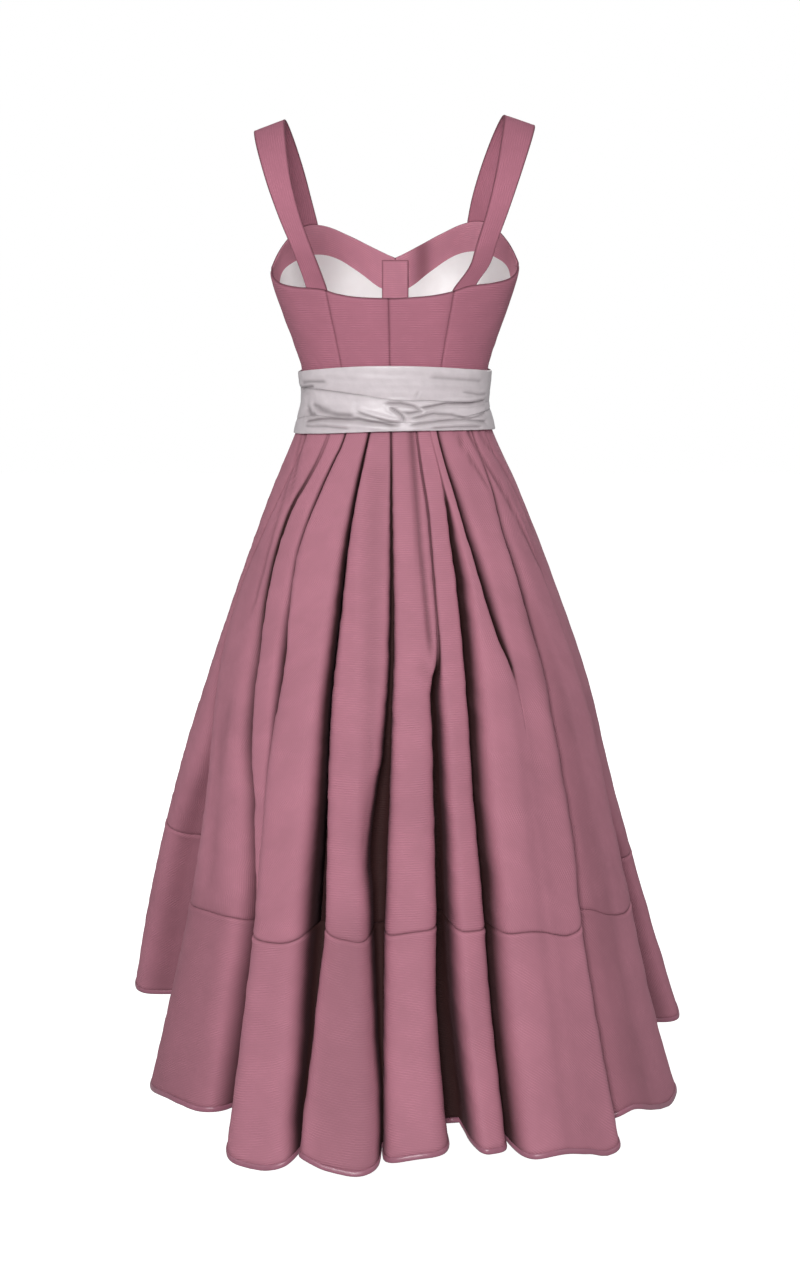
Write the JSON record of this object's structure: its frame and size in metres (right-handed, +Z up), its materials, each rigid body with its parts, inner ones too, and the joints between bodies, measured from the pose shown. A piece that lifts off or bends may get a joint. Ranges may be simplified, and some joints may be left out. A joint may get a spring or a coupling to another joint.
{
  "type": "dirndl",
  "caption": "Sleeveless dirndl with a fitted bodice, wide shoulder straps, a wound satin sash and a full pleated skirt with a wide bound hem band.",
  "frame": {"origin": "between the shoulders, at the height where the two straps rest on them", "axes": "+Z up along the wearer's body, front of the dress towards -Y, wearer's left towards +X"},
  "size_m": [0.8011, 0.8359, 1.2958],
  "materials": {
    "rose_cotton": "matt, fine horizontal rib",
    "white_lining": "matt plain weave",
    "silver_satin": "glossy satin",
    "rose_satin": "glossy satin"
  },
  "bodies": {
    "root": {"bodice_back_left": "rose_cotton", "bodice_back_right": "rose_cotton", "bodice_side_left": "rose_cotton", "bodice_side_right": "rose_cotton", "bodice_front_left": "rose_cotton", "bodice_front_right": "rose_cotton", "cup_left": "rose_cotton", "cup_right": "rose_cotton", "facing_left": "rose_cotton", "facing_right": "rose_cotton", "lining_left": "white_lining", "lining_right": "white_lining", "front_placket": "rose_cotton", "strap_left": "rose_cotton", "strap_right": "rose_cotton", "sash_upper": "silver_satin", "sash_middle": "silver_satin", "sash_lower": "silver_satin", "skirt_back": "rose_cotton", "skirt_left": "rose_cotton", "skirt_right": "rose_cotton", "skirt_front": "rose_cotton", "hem_band_back": "rose_cotton", "hem_band_front": "rose_cotton", "hem_binding": "rose_satin"}
  },
  "joints": []
}
